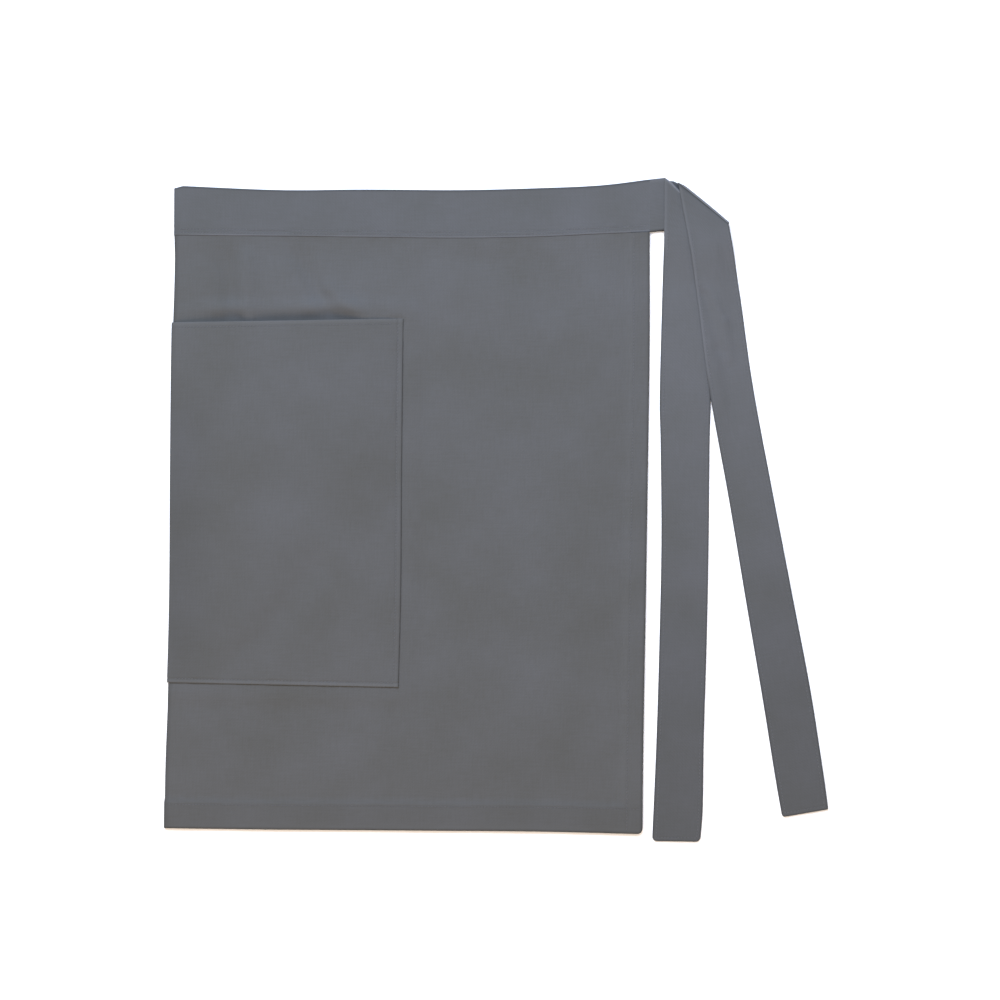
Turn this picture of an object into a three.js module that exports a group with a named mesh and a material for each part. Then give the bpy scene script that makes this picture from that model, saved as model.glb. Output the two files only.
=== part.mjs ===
// Waist apron of cotton twill, folded in half down its middle and laid flat, front outwards.
// Frame: x runs along the waistband, y towards the waistband, z up off the surface it lies on.
// The origin is the middle of the underside of the whole apron. Sizes are in millimetres.

import * as THREE from 'three';

// Cut and sewn sizes
const apronWidth = 886;
const apronLength = 600;
const bandHeight = 45;
const sideHem = 16;
const bottomHem = 24;
const pocketWidth = 430;
const pocketDepth = 342;
const pocketDrop = 124;
const tieWidth = 45;
const frontTieLength = 631;
const backTieLength = 625;

// Thickness of the pressed layers, and the air left between them
const panelCloth = 1.0;
const hemCloth = 1.6;
const pocketCloth = 1.0;
const bandCloth = 2.0;
const tieCloth = 1.6;
const clearance = 0.3;

// How far the cloth stands up where it isn't pressed flat
const pocketPuff = 7.2;
const skirtSwell = 2.4;

// Distance beyond a layer's edge at which the cloth over it starts and ends its slope down
const slopeStart = 8;
const slopeEnd = 24;
const hemStep = 2;

// Steps round each fold of cloth
const foldSteps = 6;

const foldedWidth = apronWidth / 2;
const bodyLength = apronLength - bandHeight;
const pocketHalf = pocketWidth / 2;
const cloth = new THREE.Color(0x686a6d);
const bandShade = new THREE.Color(0x6b6e74);

// The apron lies turned a little. at: share of the apron's length down from the waistband.
// fold, side: how far each edge lies to the right of its place at the top, in folded widths.
const edgeLines = [
  { at: 0.00, fold: 0.000, side: 0.000 },
  { at: 0.11, fold: -0.001, side: 0.000 },
  { at: 0.24, fold: -0.005, side: 0.000 },
  { at: 0.45, fold: -0.008, side: -0.004 },
  { at: 0.64, fold: -0.010, side: -0.008 },
  { at: 0.80, fold: -0.016, side: -0.012 },
  { at: 0.90, fold: -0.021, side: -0.014 },
  { at: 1.00, fold: -0.023, side: -0.015 },
];

// The long edges that run across. at: share of the folded width from the fold.
// top: rise of the band's top edge, seam: depth of the seam under it, both in band heights.
// hem: how far down the hem lies, in apron lengths.
const crossLines = [
  { at: 0.00, top: 0.05, seam: 0.98, hem: 0.996 },
  { at: 0.22, top: -0.04, seam: 1.00, hem: 0.998 },
  { at: 0.40, top: -0.03, seam: 1.02, hem: 0.999 },
  { at: 0.60, top: -0.04, seam: 1.04, hem: 1.000 },
  { at: 0.77, top: 0.00, seam: 1.01, hem: 1.001 },
  { at: 0.90, top: 0.06, seam: 0.95, hem: 1.003 },
  { at: 1.00, top: 0.18, seam: 0.91, hem: 1.005 },
];

// The pocket's cross edges. at: share of the pocket's half width from the fold.
// mouth, bottom: rise of each edge from its sewn place, in band heights.
const pocketLines = [
  { at: 0.00, mouth: -0.03, bottom: 0.01 },
  { at: 0.50, mouth: 0.00, bottom: -0.01 },
  { at: 1.00, mouth: 0.05, bottom: -0.03 },
];

// How full the pocket stands. at: share of its depth down from the mouth.
const pocketFullness = [
  { at: 0.00, full: 0.92 },
  { at: 0.20, full: 1.00 },
  { at: 0.38, full: 0.90 },
  { at: 0.60, full: 0.52 },
  { at: 0.80, full: 0.24 },
  { at: 0.93, full: 0.06 },
  { at: 1.00, full: 0.00 },
];

// Furrows and ridges. x: from the fold, in folded widths. y: from the band's top, in apron lengths.
// width: half width, in band heights. height: up if positive, in swells of the skirt.
const skirtCreases = [
  { fromX: 0.105, fromY: 0.10, toX: 0.122, toY: 0.20, width: 0.26, height: -1.0 },
  { fromX: 0.150, fromY: 0.10, toX: 0.155, toY: 0.19, width: 0.26, height: 0.5 },
  { fromX: 0.265, fromY: 0.08, toX: 0.360, toY: 0.18, width: 0.32, height: -1.0 },
  { fromX: 0.345, fromY: 0.15, toX: 0.440, toY: 0.20, width: 0.24, height: 0.5 },
  { fromX: 0.665, fromY: 0.09, toX: 0.780, toY: 0.15, width: 0.60, height: -0.8 },
];

// Broad swells of the upper skirt, as bells round a middle, in the same shares.
const skirtBells = [
  { x: 0.20, y: 0.15, spreadX: 0.16, spreadY: 0.05, height: 1.0 },
  { x: 0.42, y: 0.16, spreadX: 0.12, spreadY: 0.05, height: 0.8 },
  { x: 0.72, y: 0.14, spreadX: 0.16, spreadY: 0.07, height: 0.7 },
  { x: 0.70, y: 0.55, spreadX: 0.14, spreadY: 0.22, height: 0.4 },
];

// The dents in the pocket's front, in shares of its half width and depth, heights in pocket puffs.
const pocketCreases = [
  { fromX: 0.62, fromY: 0.68, toX: 0.32, toY: 0.94, width: 0.40, height: -0.16 },
  { fromX: 0.20, fromY: 0.27, toX: 0.22, toY: 0.41, width: 0.50, height: -0.08 },
];

// Where each tie turns down, in tie widths from the top corner at the end of the band.
// near: the run just before the turn, turn: the slanting fold, each from its upper to its lower end.
// bow: how far the fold swells out in its middle. lean: how far the run drifts right as it falls.
// firstRow: where the run lies square across, as a share of it.
const frontTurn = {
  near: { upX: 0.15, upY: 0.00, lowX: 0.75, lowY: -1.00 },
  turn: { upX: 0.26, upY: -0.01, lowX: 1.28, lowY: -0.97 },
  bow: 0.01,
  lean: -0.015,
  firstRow: 0.06,
};
const backTurn = {
  near: { upX: 0.50, upY: -0.01, lowX: 1.26, lowY: -1.00 },
  turn: { upX: 0.56, upY: -0.10, lowX: 1.61, lowY: -0.96 },
  bow: 0.01,
  lean: 0.17,
  firstRow: 0.075,
};

// The run of each tie below its turn. at: share of the run. sway: its middle's way off
// a straight line, to the right. width: its width there, both in tie widths.
const frontRun = [
  { at: 0.00, sway: 0.03, width: 0.97 },
  { at: 0.05, sway: 0.04, width: 1.00 },
  { at: 0.15, sway: 0.04, width: 1.04 },
  { at: 0.31, sway: 0.03, width: 1.06 },
  { at: 0.37, sway: 0.04, width: 1.02 },
  { at: 0.53, sway: 0.07, width: 0.98 },
  { at: 0.69, sway: 0.06, width: 0.98 },
  { at: 0.84, sway: 0.03, width: 0.98 },
  { at: 0.95, sway: 0.01, width: 1.02 },
  { at: 0.99, sway: -0.02, width: 0.97 },
  { at: 1.00, sway: -0.03, width: 0.90 },
];
const backRun = [
  { at: 0.00, sway: 0.03, width: 0.86 },
  { at: 0.04, sway: 0.05, width: 0.87 },
  { at: 0.16, sway: 0.02, width: 0.89 },
  { at: 0.30, sway: -0.04, width: 0.91 },
  { at: 0.48, sway: -0.01, width: 0.92 },
  { at: 0.65, sway: 0.01, width: 0.97 },
  { at: 0.81, sway: 0.03, width: 1.01 },
  { at: 0.94, sway: 0.01, width: 1.00 },
  { at: 1.00, sway: 0.00, width: 0.97 },
];

const { lerp, smoothstep } = THREE.MathUtils;

// Value of one column of a table at a share, on a smooth curve through its rows.
function read(rows, column, share) {
  const last = rows.length - 1;
  if (share <= rows[0].at) return rows[0][column];
  if (share >= rows[last].at) return rows[last][column];
  const low = rows.findIndex((row) => row.at > share) - 1;
  const high = low + 1;
  const slope = (a, b) => (rows[b][column] - rows[a][column]) / (rows[b].at - rows[a].at);
  const span = rows[high].at - rows[low].at;
  const t = (share - rows[low].at) / span;
  const leave = slope(Math.max(low - 1, 0), high) * span;
  const reach = slope(low, Math.min(high + 1, last)) * span;
  return rows[low][column] * (2 * t ** 3 - 3 * t ** 2 + 1)
    + rows[high][column] * (3 * t ** 2 - 2 * t ** 3)
    + leave * (t ** 3 - 2 * t ** 2 + t)
    + reach * (t ** 3 - t ** 2);
}

// Places from the first key to the last, with a number of equal steps after each key.
function stations(keys) {
  const places = [];
  keys.forEach((key, index) => {
    const next = keys[index + 1];
    if (!next) {
      places.push(key.at);
      return;
    }
    for (let step = 0; step < key.steps; step += 1) {
      places.push(lerp(key.at, next.at, step / key.steps));
    }
  });
  return places;
}

// Sum of creases at a place given in the same shares as the table.
// spanX and spanY are the real sizes that the shares are of.
function creaseSum(creases, x, y, spanX, spanY) {
  const place = new THREE.Vector3(x * spanX, y * spanY, 0);
  const line = new THREE.Line3();
  const nearest = new THREE.Vector3();
  let sum = 0;
  for (const crease of creases) {
    line.start.set(crease.fromX * spanX, crease.fromY * spanY, 0);
    line.end.set(crease.toX * spanX, crease.toY * spanY, 0);
    line.closestPointToPoint(place, true, nearest);
    const away = nearest.distanceTo(place) / (crease.width * bandHeight);
    sum += crease.height * Math.exp(-(away ** 2));
  }
  return sum;
}

// One closed solid from a grid of points on a cloth's outer face.
// Each point holds its place, the direction to the inner face and the thickness there.
// Seen from the inner face, the grid's points run to the left of the way its lines follow.
function sheetMesh(name, grid, colour) {
  const lines = grid.length;
  const points = grid[0].length;
  const places = [];
  for (const depth of [0, 1]) {
    for (const line of grid) {
      for (const point of line) {
        const place = point.place.clone().addScaledVector(point.inward, depth * point.thick);
        places.push(place.x, place.y, place.z);
      }
    }
  }
  const at = (line, point, depth) => (depth * lines + line) * points + point;
  const faces = [];
  const quad = (a, b, c, d) => faces.push(a, c, b, a, d, c);
  for (let i = 0; i < lines - 1; i += 1) {
    for (let j = 0; j < points - 1; j += 1) {
      quad(at(i, j, 0), at(i + 1, j, 0), at(i + 1, j + 1, 0), at(i, j + 1, 0));
      quad(at(i, j, 1), at(i, j + 1, 1), at(i + 1, j + 1, 1), at(i + 1, j, 1));
    }
    const last = points - 1;
    quad(at(i, 0, 0), at(i, 0, 1), at(i + 1, 0, 1), at(i + 1, 0, 0));
    quad(at(i, last, 0), at(i + 1, last, 0), at(i + 1, last, 1), at(i, last, 1));
  }
  for (let j = 0; j < points - 1; j += 1) {
    const last = lines - 1;
    quad(at(0, j, 0), at(0, j + 1, 0), at(0, j + 1, 1), at(0, j, 1));
    quad(at(last, j, 0), at(last, j, 1), at(last, j + 1, 1), at(last, j + 1, 0));
  }
  const geometry = new THREE.BufferGeometry();
  geometry.setAttribute('position', new THREE.Float32BufferAttribute(places, 3));
  geometry.setIndex(faces);
  geometry.computeVertexNormals();
  const material = new THREE.MeshStandardMaterial({ color: colour, roughness: 0.9, metalness: 0 });
  const mesh = new THREE.Mesh(geometry, material);
  mesh.name = name;
  return mesh;
}

const up = new THREE.Vector3(0, 0, 1);
const down = new THREE.Vector3(0, 0, -1);

// A cloth folded about the left edge: the lower layer from its free edge to the fold,
// the turn, and the upper layer back to its free edge.
// The layers' outer faces come from lower(along, row) and upper(along, row), and their
// thickness from thick(along, row), where along runs from 0 at the fold to 1.
function foldedGrid({ lowerColumns, upperColumns, rows, lower, upper, thick }) {
  const grid = [];
  const flat = (columns, face, inward) => columns.map((along) => rows.map((row) => ({
    place: face(along, row), inward, thick: thick(along, row),
  })));
  grid.push(...flat([...lowerColumns].reverse(), lower, up));
  for (let step = 0; step <= foldSteps; step += 1) {
    const turn = Math.PI * step / foldSteps;
    grid.push(rows.map((row) => {
      const from = lower(0, row);
      const radius = (upper(0, row).z - from.z) / 2;
      return {
        place: new THREE.Vector3(
          from.x - radius * Math.sin(turn), from.y, from.z + radius * (1 - Math.cos(turn)),
        ),
        inward: new THREE.Vector3(Math.sin(turn), 0, Math.cos(turn)),
        thick: thick(0, row),
      };
    }));
  }
  grid.push(...flat(upperColumns, upper, down));
  return grid;
}

// Outline of the folded apron, before it is centred
const foldAt = (y) => foldedWidth * read(edgeLines, 'fold', -y / apronLength);
const sideAt = (y) => foldedWidth * (1 + read(edgeLines, 'side', -y / apronLength));
const topAt = (across) => bandHeight * read(crossLines, 'top', across);
const seamAt = (across) => -bandHeight * read(crossLines, 'seam', across);
const hemAt = (across) => -apronLength * read(crossLines, 'hem', across);

// The pocket's outline on it
const mouthAt = (along) => -pocketDrop + bandHeight * read(pocketLines, 'mouth', along);
const bottomAt = (along) => -pocketDrop - pocketDepth
  + bandHeight * read(pocketLines, 'bottom', along);

// The middle of every fold lies this far in from the body's own folded edge
const foldRadius = panelCloth + clearance / 2;
const foldMiddle = (y) => foldAt(y) + foldRadius;

const pocketReach = pocketHalf - foldRadius;

// 1 over the pocket's hidden half, easing to 0 outside it.
function overPocket(x, y) {
  const along = (x - foldMiddle(y)) / pocketReach;
  const beside = Math.max(x - foldMiddle(y) - pocketReach, 0);
  const above = Math.max(y - mouthAt(along), 0);
  const below = Math.max(bottomAt(along) - y, 0);
  return 1 - smoothstep(Math.hypot(beside, above, below), slopeStart, slopeEnd);
}

// 1 at the band's seam, easing to 0 below it.
const nearSeam = (across, y) => 1 - smoothstep(seamAt(across) - y, 0, slopeEnd);

// Height of the loose cloth of the upper layer over the pressed one.
function skirtLoose(across, y) {
  const depth = -y / apronLength;
  let height = creaseSum(skirtCreases, across, depth, foldedWidth, apronLength);
  for (const bell of skirtBells) {
    const awayX = (across - bell.x) / bell.spreadX;
    const awayY = (depth - bell.y) / bell.spreadY;
    height += bell.height * Math.exp(-(awayX ** 2) - awayY ** 2);
  }
  return skirtSwell * Math.max(height, 0);
}

// Columns of the body and the band, from the fold to the side edge, so that their seam matches.
const skirtColumns = (pocketSteps, sideSteps) => stations([
  { at: 0, steps: pocketSteps },
  { at: (pocketHalf + slopeStart) / foldedWidth, steps: 1 },
  { at: (pocketHalf + slopeEnd) / foldedWidth, steps: sideSteps },
  { at: 1 - (sideHem + hemStep) / foldedWidth, steps: 1 },
  { at: 1 - sideHem / foldedWidth, steps: 1 },
  { at: 1 },
]).slice(1);
const lowerColumns = skirtColumns(6, 5);
const upperColumns = skirtColumns(16, 11);

function bodyPanel() {
  const place = (across, share) => {
    const y = lerp(seamAt(across) - clearance, hemAt(across), share);
    return new THREE.Vector3(lerp(foldMiddle(y), sideAt(y), across), y, 0);
  };
  const thick = (across, share) => {
    const { x, y } = place(across, share);
    const fromSide = sideAt(y) - x;
    const fromHem = y - hemAt(across);
    const inHem = Math.min(fromSide - sideHem, fromHem - bottomHem);
    return lerp(hemCloth, panelCloth, smoothstep(inHem, 0, hemStep));
  };
  const lower = (across, share) => {
    const point = place(across, share);
    const lift = pocketCloth + clearance;
    const seamLift = (bandCloth - panelCloth) / 2;
    point.z = lift * overPocket(point.x, point.y) + seamLift * nearSeam(across, point.y);
    return point;
  };
  const upper = (across, share) => {
    const point = lower(across, share);
    const seam = nearSeam(across, point.y);
    const free = 1 - Math.max(overPocket(point.x, point.y), seam);
    const inside = smoothstep(point.x - foldMiddle(point.y), 0, slopeEnd);
    const seamLift = bandCloth - panelCloth;
    point.z += 2 * thick(across, share) + clearance + seamLift * seam
      + free * inside * skirtLoose(across, point.y);
    return point;
  };
  const mouthPlace = (pocketDrop - bandHeight) / bodyLength;
  const bottomPlace = (pocketDrop + pocketDepth - bandHeight) / bodyLength;
  const rows = stations([
    { at: 0, steps: 2 },
    { at: slopeEnd / bodyLength, steps: 3 },
    { at: mouthPlace - slopeEnd / bodyLength, steps: 1 },
    { at: mouthPlace - slopeStart / bodyLength, steps: 7 },
    { at: bottomPlace + slopeStart / bodyLength, steps: 1 },
    { at: bottomPlace + slopeEnd / bodyLength, steps: 4 },
    { at: 1 - (bottomHem + hemStep) / bodyLength, steps: 1 },
    { at: 1 - bottomHem / bodyLength, steps: 1 },
    { at: 1 },
  ]);
  const grid = foldedGrid({ lowerColumns, upperColumns, rows, lower, upper, thick });
  return sheetMesh('body_panel', grid, cloth);
}

function pocket() {
  const place = (along, share) => {
    const y = lerp(mouthAt(along), bottomAt(along), share);
    return new THREE.Vector3(foldMiddle(y) + along * pocketReach, y, 0);
  };
  const pressed = 2 * pocketCloth + 2 * panelCloth + 3 * clearance;
  const upper = (along, share) => {
    const point = place(along, share);
    const arch = Math.sin(Math.PI * Math.min(along, 1)) ** 0.7;
    const full = read(pocketFullness, 'full', share);
    const dents = creaseSum(pocketCreases, along, share, pocketHalf, pocketDepth);
    point.z = pressed + pocketPuff * Math.max(arch * (full + dents), 0);
    return point;
  };
  const grid = foldedGrid({
    lowerColumns: stations([{ at: 0, steps: 3 }, { at: 1 }]).slice(1),
    upperColumns: stations([{ at: 0, steps: 4 }, { at: 0.12, steps: 10 }, { at: 0.88, steps: 4 },
      { at: 1 }]).slice(1),
    rows: stations([{ at: 0, steps: 16 }, { at: 1 }]),
    lower: place,
    upper,
    thick: () => pocketCloth,
  });
  return sheetMesh('pocket', grid, cloth);
}

function waistband() {
  const lower = (across, share) => {
    const y = lerp(topAt(across), seamAt(across), share);
    return new THREE.Vector3(lerp(foldMiddle(y), sideAt(y), across), y, 0);
  };
  const upper = (across, share) => {
    const point = lower(across, share);
    point.z = 2 * bandCloth + clearance;
    return point;
  };
  const grid = foldedGrid({
    lowerColumns,
    upperColumns,
    rows: stations([{ at: 0, steps: 3 }, { at: 1 }]),
    lower,
    upper,
    thick: () => bandCloth,
  });
  return sheetMesh('waistband', grid, bandShade);
}

// The turns at the end of the band lie one inside the other: from the surface up, the back
// tie coming in, the front tie coming in, the front tie's run and the back tie's run.
// Heights of the underside of each tie at the band's end, before its turn and after it.
const layer = tieCloth + clearance;
const backLevel = { root: (bandCloth - tieCloth) / 2, before: 0, after: 3 * layer };
const frontLevel = {
  root: bandCloth + clearance + (bandCloth - tieCloth) / 2, before: layer, after: 2 * layer,
};

// Corner at the top of the band's end, where both ties start
const rootCorner = new THREE.Vector2(sideAt(0) + clearance, topAt(1));
const cornerPlace = (x, y) => new THREE.Vector2(x, y).multiplyScalar(tieWidth).add(rootCorner);

// The slanting fold of a tie as its upper and lower end, and its middle.
function turnLine({ turn }) {
  const high = cornerPlace(turn.upX, turn.upY);
  const low = cornerPlace(turn.lowX, turn.lowY);
  return { high, low, middle: high.clone().add(low).multiplyScalar(0.5) };
}

// Length of a tie's run below its turn, from the tie's whole length.
function runLength({ shape, length }) {
  const start = new THREE.Vector2(rootCorner.x, (topAt(1) + seamAt(1)) / 2);
  return length - start.distanceTo(turnLine(shape).middle);
}

// The two edges of a tie's run at a share of it.
function runEdges(tieShape, share) {
  const { shape, run } = tieShape;
  const ahead = new THREE.Vector2(shape.lean, -1).normalize();
  const right = new THREE.Vector2(-ahead.y, ahead.x);
  const middle = turnLine(shape).middle
    .addScaledVector(ahead, share * runLength(tieShape))
    .addScaledVector(right, tieWidth * read(run, 'sway', share));
  const half = tieWidth * read(run, 'width', share) / 2;
  return {
    left: middle.clone().addScaledVector(right, -half),
    right: middle.clone().addScaledVector(right, half),
  };
}

const frontShape = { shape: frontTurn, run: frontRun, length: frontTieLength };
const backShape = { shape: backTurn, run: backRun, length: backTieLength };

// 1 above the lower edge of the band, easing to 0 over the given distance below it.
const besideBand = (y, reach) => 1 - smoothstep(seamAt(1) - y, clearance, reach);

// Height of the underside of the front tie's run: over its turn, then on the surface.
const underFront = (x, y) => frontLevel.after * besideBand(y, 2 * slopeEnd);

// Height of the underside of the back tie's run: over the front tie, then on the surface.
function underBack(x, y) {
  const top = runEdges(frontShape, 0).right;
  const share = Math.max((top.y - y) / runLength(frontShape), 0);
  const beyond = x - runEdges(frontShape, share).right.x;
  const onFront = 1 - smoothstep(beyond, slopeStart / 4, slopeEnd);
  const onTurn = backLevel.after * besideBand(y, 2 * slopeEnd);
  return Math.max(onTurn, (underFront(x, y + slopeStart) + layer) * onFront);
}

// A tie: from the band's end to its slanting fold, round it, and down its run.
function tie(name, tieShape, level, underside) {
  const { shape } = tieShape;
  const columns = stations([{ at: 0, steps: 6 }, { at: 1 }]).reverse();
  const grid = [];
  const addLine = (left, right, height, inward, bow = new THREE.Vector2()) => {
    grid.push(columns.map((share) => {
      const spot = left.clone().lerp(right, share)
        .addScaledVector(bow, Math.sin(Math.PI * share));
      const place = new THREE.Vector3(spot.x, spot.y, height(spot));
      return { place, inward, thick: tieCloth };
    }));
  };
  const flat = (height) => () => height;
  const rootLow = new THREE.Vector2(rootCorner.x, seamAt(1));
  addLine(rootCorner, rootLow, flat(level.root), up);
  const { near } = shape;
  addLine(cornerPlace(near.upX, near.upY), cornerPlace(near.lowX, near.lowY),
    flat(level.before), up);

  const { high, low } = turnLine(shape);
  const outward = low.clone().sub(high).rotateAround(new THREE.Vector2(), Math.PI / 2).normalize();
  const bow = outward.clone().multiplyScalar(shape.bow * tieWidth);
  const radius = (level.after - level.before + tieCloth) / 2;
  for (let index = 0; index <= foldSteps; index += 1) {
    const turn = Math.PI * index / foldSteps;
    const inward = new THREE.Vector3(outward.x, outward.y, 0).multiplyScalar(-Math.sin(turn));
    inward.z = Math.cos(turn);
    const shift = outward.clone().multiplyScalar(radius * Math.sin(turn));
    addLine(high.clone().add(shift), low.clone().add(shift),
      flat(level.before + radius * (1 - Math.cos(turn))), inward, bow);
  }

  const top = (spot) => underside(spot.x, spot.y) + tieCloth;
  const first = runEdges(tieShape, shape.firstRow);
  addLine(high.clone().lerp(first.left, 0.5), low.clone().lerp(first.right, 0.5), top, down);
  const shares = stations([{ at: shape.firstRow, steps: 12 }, { at: 0.35, steps: 14 },
    { at: 0.98, steps: 2 }, { at: 1 }]);
  for (const share of shares) {
    const { left, right } = runEdges(tieShape, share);
    addLine(left, right, top, down);
  }
  return sheetMesh(name, grid, bandShade);
}

const apron = new THREE.Group();
apron.add(
  bodyPanel(),
  pocket(),
  waistband(),
  tie('front_tie', frontShape, frontLevel, underFront),
  tie('back_tie', backShape, backLevel, underBack),
);

// The origin is the middle of the underside of the whole apron's box
const box = new THREE.Box3().setFromObject(apron);
const middle = box.getCenter(new THREE.Vector3());
apron.position.set(-middle.x, -middle.y, -box.min.z);

export default apron;
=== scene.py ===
"""A waist apron of dark grey cotton twill, folded in half and laid flat with its front outwards."""

import bmesh
import bpy
import math
import numpy as np
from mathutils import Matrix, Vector


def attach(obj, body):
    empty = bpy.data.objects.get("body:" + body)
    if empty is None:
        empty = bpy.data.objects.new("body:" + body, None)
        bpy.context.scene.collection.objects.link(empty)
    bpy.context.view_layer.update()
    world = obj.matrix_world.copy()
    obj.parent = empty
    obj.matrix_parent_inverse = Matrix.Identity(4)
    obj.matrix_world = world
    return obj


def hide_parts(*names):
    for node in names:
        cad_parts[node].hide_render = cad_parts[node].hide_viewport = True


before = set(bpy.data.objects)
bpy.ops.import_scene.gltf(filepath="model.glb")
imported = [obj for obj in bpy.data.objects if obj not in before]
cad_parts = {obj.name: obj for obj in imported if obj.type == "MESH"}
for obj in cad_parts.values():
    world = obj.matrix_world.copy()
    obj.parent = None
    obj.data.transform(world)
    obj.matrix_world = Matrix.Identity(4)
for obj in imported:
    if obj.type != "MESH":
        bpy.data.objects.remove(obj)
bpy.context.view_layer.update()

# Everything below is worked out in millimetres on the apron's own axes, which start at the
# top of the fold, x along the band and y up towards it. These two turn it into the row's frame.
MM = 0.001
AXES_ORIGIN = np.array([-299.725, 300.752, 0.0])

# Cut and sewn sizes, the same as the solids have
APRON_WIDTH = 886
APRON_LENGTH = 600
BAND_HEIGHT = 45
SIDE_HEM = 16
BOTTOM_HEM = 24
POCKET_WIDTH = 430
POCKET_DEPTH = 342
POCKET_DROP = 124
TIE_WIDTH = 45
FRONT_TIE_LENGTH = 631
BACK_TIE_LENGTH = 625

PANEL_CLOTH = 1.0
HEM_CLOTH = 1.6
POCKET_CLOTH = 1.0
BAND_CLOTH = 2.0
TIE_CLOTH = 1.6
CLEARANCE = 0.3
SEAM_GAP = 0.1

POCKET_PUFF = 7.2
SKIRT_SWELL = 2.7
SLOPE_START = 8
SLOPE_END = 24
HEM_STEP = 5.0

# The ridge stands this far above the pocket's mouth. The fall behind the mouth takes away a
# share of the swells' height, and the swells reach this far down inside the pocket.
RIDGE_RISE = 13
RIDGE_SPREAD = 7
MOUTH_FALL = 0.65
MOUTH_SPREAD = 5
MOUTH_REACH = 30

# How much darker the cloth is painted: on the bottom hem, and as painted shade just above the
# pocket's mouth and on the pocket beside its fold
HEM_SHADE = 0.08
MOUTH_SHADE = 0.10
POCKET_SHADE = 0.2

# Distances that swells and ripples need to rise: from the fold, from the band's ends and
# down from a tie's turn. The pocket's front starts to rise a little round its fold.
FROM_FOLD = (0, 9)
FROM_BAND_END = (0, 12)
FROM_TURN = (20, 70)
FROM_POCKET_FOLD = (-6, 9)

FOLDED_WIDTH = APRON_WIDTH / 2
BODY_LENGTH = APRON_LENGTH - BAND_HEIGHT
POCKET_HALF = POCKET_WIDTH / 2
FOLD_RADIUS = PANEL_CLOTH + CLEARANCE / 2
POCKET_REACH = POCKET_HALF - FOLD_RADIUS

# Length of cloth round each fold
FOLD_ARC = math.pi * FOLD_RADIUS
POCKET_ARC = math.pi * (POCKET_CLOTH + PANEL_CLOTH + 1.5 * CLEARANCE)
BAND_ARC = math.pi * (BAND_CLOTH + CLEARANCE / 2)

# Distance of each stitch row from the edge beside it
BAND_ROWS = (2.6, 5.6)
POCKET_SIDE_ROW = 5.0
POCKET_BOTTOM_ROW = 4.0
POCKET_MOUTH_ROW = 5.0
SIDE_HEM_ROW = 14.8
BOTTOM_HEM_ROW = 22.6
TIE_ROW = 3.6

# Rounded rims and corners of the cloths
SKIRT_RIM = 1.3
POCKET_RIM = 1.2
BAND_EDGE = 0.4
SKIRT_CORNER = 5.0
BAND_CORNER_WIDTH = 6.0
BAND_CORNER_DROP = 2.0
# Least square of the share of its thickness that a cloth keeps at a rounded rim
THINNEST = 0.02

# How far the skirt rises beside its seam, how far the fold of a tie reaches out, and the gap
# between the band's end and each tie
SEAM_RISE = 0.4
TURN_LIP = 2.0
ROOT_GAP = 0.02

# Grid of a cloth: its cells, wider ones where it is hidden, the lines beside a stitch row and
# across a rounded rim, in rim radii, and how far from both the plain lines stay
CELL = 3.2
HIDDEN_CELL = 14
BAND_CELL = 2.6
ROW_LINES = (-2.2, -1.2, -0.6, 0, 0.6, 1.2, 2.2)
ROW_CLEAR = 2.6
RIM_LINES = (0, 0.06, 0.25, 0.6, 1.0)
RIM_CLEAR = 1.6
ROUND_STEPS = 12
ROOT_STEPS = 8
TURN_LINES = (0.006, 0.012, 0.02, 0.03, 0.045, 0.07, 0.1, *np.arange(0.16, 0.98, 0.07))
SHARP = math.radians(60)
DRIFT_KNOTS = 97
UV_START = (0.5, 0.05)

# Stitches: how far apart, how long and how thick, and how far their rows stay from corners,
# from a fold and from a tie's turn
STITCH_PITCH = 3.1
STITCH_LENGTH = 2.35
THREAD_RADIUS = 0.24
THREAD_SIDES = 6
CORNER_MARGIN = 3
FOLD_MARGIN = 2
TURN_MARGIN = 30
# Along a stitch, how high its thread lies over the cloth and how thick it is there,
# in thread radii
STITCH_RINGS = ((-0.5, -0.7, 0.6), (-0.3, 0.45, 1.0), (0.3, 0.45, 1.0), (0.5, -0.7, 0.6))
# The cloth's slope under a stitch is taken over this far
SLOPE_SPAN = 3


def table(columns, *rows):
    """Rows of numbers as one array a named column."""
    return dict(zip(columns.split(), np.array(rows, float).T))


# The apron lies turned a little. at: share of its length down, fold and side: how far each
# edge lies to the right of its place at the top, in folded widths.
EDGE_LINES = table(
    "at fold side",
    (0.00, 0.000, 0.000),
    (0.11, -0.001, 0.000),
    (0.24, -0.005, 0.000),
    (0.45, -0.008, -0.004),
    (0.64, -0.010, -0.008),
    (0.80, -0.016, -0.012),
    (0.90, -0.021, -0.014),
    (1.00, -0.023, -0.015),
)
# The edges that run across. at: share of the folded width. top, seam: in band heights.
# hem: in apron lengths.
CROSS_LINES = table(
    "at top seam hem",
    (0.00, 0.05, 0.98, 0.996),
    (0.22, -0.04, 1.00, 0.998),
    (0.40, -0.03, 1.02, 0.999),
    (0.60, -0.04, 1.04, 1.000),
    (0.77, 0.00, 1.01, 1.001),
    (0.90, 0.06, 0.95, 1.003),
    (1.00, 0.18, 0.91, 1.005),
)
# The pocket's cross edges, in shares of its half width and in band heights
POCKET_LINES = table(
    "at mouth bottom",
    (0.0, -0.03, 0.10),
    (0.5, 0.00, 0.05),
    (1.0, 0.05, 0.00),
)
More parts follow.
